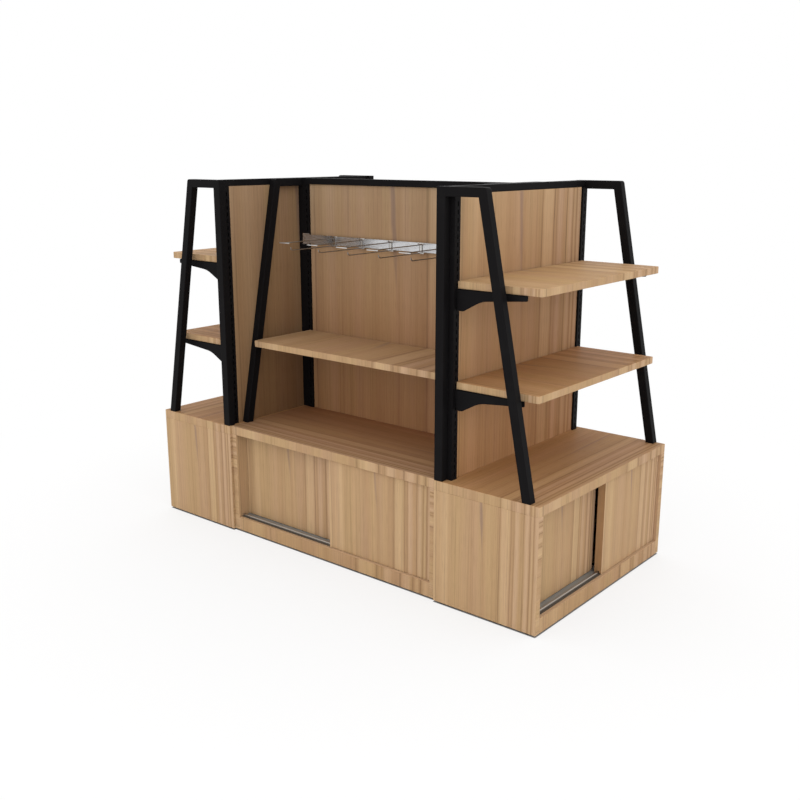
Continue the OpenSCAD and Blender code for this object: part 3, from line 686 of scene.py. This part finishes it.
def cut(mesh, low, high):
    # the mesh less a plain block between two corners, as a new mesh
    x0, y0, z0, x1, y1, z1 = *low, *high
    corners = [(x, y, z) for z in (z0, z1) for x, y in ((x0, y0), (x1, y0), (x1, y1), (x0, y1))]
    faces = [(3, 2, 1, 0), (4, 5, 6, 7), (0, 1, 5, 4), (1, 2, 6, 5), (2, 3, 7, 6), (3, 0, 4, 7)]
    block = bpy.data.meshes.new("block")
    block.from_pydata(corners, [], faces)
    cutter = bpy.data.objects.new("block", block)
    holder = bpy.data.objects.new("holder", mesh)
    for o in (cutter, holder):
        bpy.context.scene.collection.objects.link(o)
    modifier = holder.modifiers.new("cut", "BOOLEAN")
    modifier.object, modifier.operation, modifier.solver = cutter, "DIFFERENCE", "EXACT"
    bpy.context.view_layer.update()
    result = bpy.data.meshes.new_from_object(holder.evaluated_get(bpy.context.evaluated_depsgraph_get()))
    for o in (cutter, holder):
        bpy.data.objects.remove(o)
    result.name = mesh.name + "Cut"
    return result


def makeTop(side):
    # the top board lies over the side boards; its underside has the groove that the door guide is let into
    node = side + "_top"
    low, high = localBox(node, side)
    guideLow, guideHigh = localBox(side + "_tracks", side)
    step = cabinetSet["guideInset"] - cabinetSet["groovePlay"]
    grooveLow = (guideLow[0], guideLow[1] + step, low[2] - cabinetSet["cutterBelow"])
    grooveHigh = (guideHigh[0], guideHigh[1] - step, guideHigh[2])
    plain = meshOf(node + "_board", [board(low, high, 2, cabinetSet["ease"])])[0]
    mesh = cut(plain, grooveLow, grooveHigh)
    bay = "midTop" if side in ("front", "rear") else "endTop"
    owner = np.zeros(len(mesh.polygons), int)
    dressWood(node + "_board", mesh, owner, side, 2, 0, node, bay=bay, word=node)


def makeSides(side):
    low, high = localBox(side + "_sides", side)
    thick = cabinetSet["sideThick"]
    boards = [board(low, (low[0] + thick, high[1], high[2]), 0, cabinetSet["ease"]),
              board((high[0] - thick, low[1], low[2]), high, 0, cabinetSet["ease"])]
    woodPiece(side + "_side_boards", boards, side, 0, 2, side + "_sides")


def makeBase(side):
    # floor board on two kick boards: a channel of y against z that opens downwards, carried along x
    c = cabinetSet
    (x0, y0, z0), (x1, y1, z1) = localBox(side + "_base", side)
    inner0, inner1, under = y0 + c["kick"], y1 - c["kick"], z1 - c["floorThick"]
    section = [(y0, z0), (inner0, z0), (inner0, under), (inner1, under), (inner1, z0), (y1, z0), (y1, z1),
               (y0, z1)]
    part = carry(roundCorners(section, c["baseCorner"]), x0, x1, c["baseEase"], 0)
    woodPiece(side + "_base_boards", [part], side, 2, 0, side + "_base", bay="kick")


def makeBack(side):
    node = side + "_back"
    part = board(*localBox(node, side), 1, cabinetSet["ease"])
    woodPiece(node + "_board", [part], side, 1, 2, node)


# sliding doors
doorSet = dict(tongue=0.008, groove=0.010, shoulder=0.012, grooveDepth=0.0063, ease=0.0010, grooveEase=0.0006,
               tongueEase=0.0008, endEase=0.0006, skirt=0.0018, skirtDrop=0.0028,
               skirtEases=(0.0005, 0.0003, 0.0003))


def makeDoor(side, which):
    # section of y against z: a groove below that runs over its ridge, a tongue above that runs in the guide
    d = doorSet
    node = "%s_door_%s" % (side, which)
    (x0, y0, z0), (x1, y1, z1) = localBox(node, side)
    middle, head, rise = (y0 + y1) / 2, z1 - d["shoulder"], z0 + d["grooveDepth"]
    g, t = d["groove"] / 2, d["tongue"] / 2
    section = [(y0, z0), (middle - g, z0), (middle - g, rise), (middle + g, rise), (middle + g, z0), (y1, z0),
               (y1, head), (middle + t, head), (middle + t, z1), (middle - t, z1), (middle - t, head),
               (y0, head)]
    plain, deep, tip = d["ease"], d["grooveEase"], d["tongueEase"]
    radii = [plain, deep, deep, deep, deep, plain, plain, deep, tip, tip, deep, plain]
    if which == "outer":
        # a thin skirt of its face hangs in front of the track's edge and narrows the gap over the floor board
        skirt, drop = y0 + d["skirt"], z0 - d["skirtDrop"]
        section[:1] = [(y0, drop), (skirt, drop), (skirt, z0)]
        radii[:1] = d["skirtEases"]
    part = carry(roundCorners(section, radii), x0, x1, d["endEase"], 0)
    woodPiece(node + "_leaf", [part], side, 1, 2, node, node, "long", "door")


# A-shaped frames
frameSet = dict(post=0.034, midPost=0.030, leg=0.033, bar=0.031, topReach=0.189, midTopReach=0.172,
                corner=0.010, soft=0.0022, inner=0.0016, ease=0.0020, steps=5)


def endFrameOutline(foot, height):
    # reach against height: a post at the back, a leg whose outer edge runs straight from the foot to the
    # top's reach
    f, soft, inner = frameSet, frameSet["soft"], frameSet["inner"]
    lean, opening = (foot - f["topReach"]) / height, height - f["bar"]
    legIn = foot - f["leg"]
    points = [(0, 0), (f["post"], 0), (f["post"], opening), (legIn - lean * opening, opening), (legIn, 0),
              (foot, 0), (f["topReach"], height), (0, height)]
    return roundCorners(points, [soft, soft, inner, inner, soft, soft, f["corner"], soft], f["steps"])


def midFrameOutline(foot, height):
    # the same leg to both sides of one shared post
    f, soft, inner = frameSet, frameSet["soft"], frameSet["inner"]
    lean, opening, post = (foot - f["midTopReach"]) / height, height - f["bar"], f["midPost"] / 2
    legIn = foot - f["leg"]
    half = [(post, 0), (post, opening), (legIn - lean * opening, opening), (legIn, 0), (foot, 0),
            (f["midTopReach"], height)]
    radii = [soft, inner, inner, soft, soft, f["corner"]]
    return roundCorners(half + [(-x, z) for x, z in half[::-1]], radii + radii[::-1], f["steps"])


def makeEndFrame(side, where):
    # drawn with its reach along x, standing on the cabinet, and carried through its thickness along y
    node = "%s_frame_%s" % (side, where)
    low, high = nodeBox(node)
    reach, z = endFrameOutline(high[0] - low[0], high[2] - low[2]).T
    x = low[0] + reach if side == "right" else high[0] - reach
    part = carry(np.stack([z + low[2], x], 1), low[1], high[1], frameSet["ease"], 1, frameSet["steps"])
    steelPiece(node + "_tube", [part], "front", node)


def makeMidFrame(side):
    node = "mid_frame_" + side
    low, high = nodeBox(node)
    y, z = midFrameOutline((high[1] - low[1]) / 2, high[2] - low[2]).T
    part = carry(np.stack([y, z + low[2]], 1), low[0], high[0], frameSet["ease"], 0, frameSet["steps"])
    steelPiece(node + "_tube", [part], "front", node)


# rails, panels and shelves
railSet = dict(ease=0.0016)
panelSet = dict(ease=0.0010)
shelfSet = dict(corner=0.008, ease=0.0016, steps=8)


def makeRail(name, axis):
    steelPiece(name + "_tube", [board(*nodeBox(name), axis, railSet["ease"])], "front", name)


def makePanel(name, side):
    part = board(*localBox(name, side), 1, panelSet["ease"])
    bay = "midPanel" if name == "mid_panel" else "endPanel"
    woodPiece(name + "_board", [part], side, 1, 2, name, bay=bay)


def makeShelf(name, side):
    # a rectangle with its two front corners rounded, carried up through the thickness
    (x0, y0, z0), (x1, y1, z1) = localBox(name, side)
    front, back = shelfSet["corner"], shelfSet["ease"] * cornerRoom
    corners = [(x0, y0), (x1, y0), (x1, y1), (x0, y1)]
    outline = roundCorners(corners, [front, front, back, back], shelfSet["steps"])
    part = carry(outline, z0, z1, shelfSet["ease"], 2, shelfSet["steps"])
    bay = dict(high="shelfHigh", low="shelfLow").get(name.split("_")[-1], "midShelf")
    woodPiece(name + "_board", [part], side, 2, 1, name, bay=bay, word=name)


# shelf brackets
# reaches run from the slotted face, depths from the shelf's underside; corners go round the plate from its
# top at the root
bracketSet = dict(arm=0.270, root=0.072, rootFlat=0.026, bend=(0.097, 0.0335), tip=0.017, gap=0.0002,
                  corners=(0.0008, 0.014, 0.018, 0.110, 0.004, 0.004), thick=0.003, ease=0.0004,
                  flangeWide=0.025, flangeThick=0.002, flangeEase=0.0002, hookFeet=(0.0215, 0.0473),
                  hookPast=0.001, neck=0.007, tailBack=0.0053, tailThick=0.003, drop=0.005, hookCorner=0.0006,
                  hookInset=0.0001)


def shelfBracket(outer, face, under):
    # an upright plate whose hooks hang in two slots, and a flange along its top that points to the middle.
    # Its outline is flat under its root, then slopes up and bends into the arm, which thins to its tip
    b = bracketSet

    def span(wide):
        return sorted((outer, outer - math.copysign(wide, outer)))

    def plate(reach, depth, corners, inset):
        outline = roundCorners(np.stack([face - np.array(reach), under - np.array(depth)], 1), corners)
        low, high = span(b["thick"])
        return carry(outline, low + inset, high - inset, b["ease"], 0)

    arm, root, bend, past = b["arm"], b["root"], b["bend"], b["hookPast"]
    parts = [plate([0, 0, b["rootFlat"], bend[0], arm, arm],
                   [b["gap"], root, root, bend[1], b["tip"], b["gap"]], b["corners"], 0)]
    low, high = span(b["flangeWide"])
    flangeLow = (low, face - arm + b["corners"][-1], under - b["flangeThick"])
    parts.append(board(flangeLow, (high, face, under), 2, b["flangeEase"]))
    back, inner = -b["tailBack"], b["tailThick"] - b["tailBack"]
    for foot in b["hookFeet"]:
        head, tail = foot - b["neck"], foot + b["drop"]
        parts.append(plate([past, past, back, back, inner, inner], [foot, head, head, tail, tail, foot],
                           b["hookCorner"], b["hookInset"]))
    return parts


def makeBrackets(side):
    # four for an end unit; the middle has a pair in front and a pair behind
    node = side + "_brackets"
    view = "front" if side == "mid" else side
    shelves = ["front_shelf"] if side == "mid" else [side + "_shelf_low", side + "_shelf_high"]
    outer, face = localBox(node, view)[1][0], localBox(side + "_uprights", view)[0][1]
    parts = [part for shelf in shelves for x in (-outer, outer)
             for part in shelfBracket(x, face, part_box(shelf)[0][2])]
    if side == "mid":
        parts += [(turnedBack("rear", points), faces, smooth) for points, faces, smooth in parts]
    steelPiece(node + "_plates", parts, view, node)


# display hooks
# reaches run from the uprights' slotted face, heights from the bar's middle, its edges or the clip's foot;
# Rows are the points that a bend or a wire has; dullParts are the long wires and the folded edges among the
# parts of one hook
hookSet = dict(count=5, pitch=0.151, shift=-0.029, barThick=0.004, barHeight=0.036, clipWide=0.014,
               clipThick=0.002, clipPlay=0.0003, clipBack=0.015, clipBelow=0.004, bend=0.0013, ease=0.0003,
               webThin=0.0001, webShort=0.003, headHigh=0.007, heelWide=0.028, heelHigh=0.007,
               heelCorner=0.0015, fold=0.0028, foldProud=0.0003, foldAside=0.0001, foldEase=0.0002,
               wire=0.004, upperReach=0.285, upperDrop=0.006, crossWide=0.055, lowerReach=0.251, turn=0.010,
               bendRows=5, wireRows=6, crossRows=4, turnRows=7, dullParts=(3, 5, 6, 7))


def hookClip(x, face, top, foot, front):
    # a strip whose wide head folds over the bar, the web before the bar, the heel that holds the lower wire,
    # and the web's two folded edges; front is the middle of the strip's thickness before the bar
    h = hookSet
    half, bend, wide, narrow = h["clipThick"] / 2, h["bend"], h["heelWide"] / 2, h["clipWide"] / 2
    back, cap = face + h["clipPlay"] + half, top + h["clipPlay"] + half
    t = np.linspace(0, math.pi / 2, h["bendRows"])
    path = np.concatenate([[(front, cap + half - h["headHigh"])],
                           np.stack([front + bend - bend * np.cos(t), cap - bend + bend * np.sin(t)], 1),
                           np.stack([back - bend + bend * np.sin(t), cap - bend + bend * np.cos(t)], 1),
                           [(back, top - h["clipBack"])]])
    head = carry(ribbon(path, half), x - wide, x + wide, h["ease"], 0)
    thin, short = h["webThin"], h["webShort"]
    web = board((x - narrow, front - half + thin, foot + short),
                (x + narrow, front + half - thin, cap - short), 1, h["ease"])
    outline = roundRect(foot, foot + h["heelHigh"], x - wide, x + wide, h["heelCorner"])
    heel = carry(outline, front - half, front + half, h["ease"], 1)
    fold, aside = h["fold"], h["foldAside"]
    folds = [board((left, front - half - h["foldProud"], foot + h["heelHigh"]),
                   (left + fold, front, cap - h["headHigh"]), 1, h["foldEase"])
             for left in (x - narrow - aside, x + narrow - fold + aside)]
    return [head, web, heel], folds


def hookWires(x, face, front, upper, lower):
    # a straight wire that ends in a crossbar, and one below whose end turns up through a quarter circle
    h = hookSet
    radius, turn = h["wire"] / 2, h["turn"]
    tip, bendAt, half = face - h["upperReach"], face - h["lowerReach"] + turn, h["crossWide"] / 2 - radius
    upperWire = wire(x, np.linspace(front, tip, h["wireRows"]), upper, radius, (1, 0, 0))
    cross = wire(np.linspace(x - half, x + half, h["crossRows"]), tip, upper, radius, (0, 0, 1))
    reach = np.linspace(front, bendAt, h["wireRows"])
    t = np.linspace(0, math.pi / 2, h["turnRows"])[1:]
    y = np.concatenate([reach, bendAt - turn * np.sin(t)])
    z = np.concatenate([reach * 0 + lower, lower + turn - turn * np.cos(t)])
    return [upperWire, cross, wire(x, y, z, radius, (1, 0, 0))]


def displayHook(x, face, middle):
    # all the parts of one hook that hangs on the bar at x
    h = hookSet
    top, foot = middle + h["barHeight"] / 2, middle - h["barHeight"] / 2 - h["clipBelow"]
    front = face - h["barThick"] - h["clipPlay"] - h["clipThick"] / 2
    clip, folds = hookClip(x, face, top, foot, front)
    wires = hookWires(x, face, front, top - h["upperDrop"], foot + h["heelHigh"] / 2)
    return clip + wires + folds


def makeHooks(side):
    node, name, h = side + "_hooks", side + "_hook_wires", hookSet
    barLow, barHigh = localBox(side + "_hook_bar", side)
    face, middle = localBox("mid_uprights", side)[0][1], (barLow[2] + barHigh[2]) / 2
    places = h["shift"] + (np.arange(h["count"]) - (h["count"] - 1) / 2) * h["pitch"]
    hooks = [displayHook(x, face, middle) for x in places]
    mesh, owner = meshOf(name, sum(hooks, []))
    makePiece(name, mesh, side, wirePlate, "island", "bright_steel", node)
    # the long wires and the clips' folded edges are duller than the rest
    mesh.materials.append(dullPlate)
    dull = np.isin(owner % len(hooks[0]), h["dullParts"])
    mesh.polygons.foreach_set("material_index", dull.astype(int))


# assembly
for side in ("front", "rear", "left", "right"):
    makeTop(side)
    makeSides(side)
    makeBase(side)
    makeBack(side)
    makeDoor(side, "outer")
    makeDoor(side, "inner")
print("cabinets and doors made")
for side in ("left", "right"):
    for where in ("front", "rear"):
        makeEndFrame(side, where)
    makeMidFrame(side)
    makeRail(side + "_rail", 1)
    makePanel(side + "_panel", side)
    makeShelf(side + "_shelf_low", side)
    makeShelf(side + "_shelf_high", side)
for side in ("left", "right", "mid"):
    makeBrackets(side)
makeRail("mid_rail", 0)
makePanel("mid_panel", "front")
for side in ("front", "rear"):
    makeShelf(side + "_shelf", side)
    makeHooks(side)
print("frames, panels, shelves and hooks made")


def plainFinish(name):
    # finish of a plain solid that stays: uprights are black, the others go by what they are
    side, _, kind = name.partition("_")
    if kind == "tracks":
        return track[side]
    return dict(glides=plastic, hook_bar=barPlate).get(kind or side, blackSteel)


# the plain solids that stay get their finish on their own material slots
for name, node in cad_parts.items():
    if not node.hide_render:
        node.data.materials.clear()
        node.data.materials.append(plainFinish(name))
print("uprights, bars, tracks and glides finished")
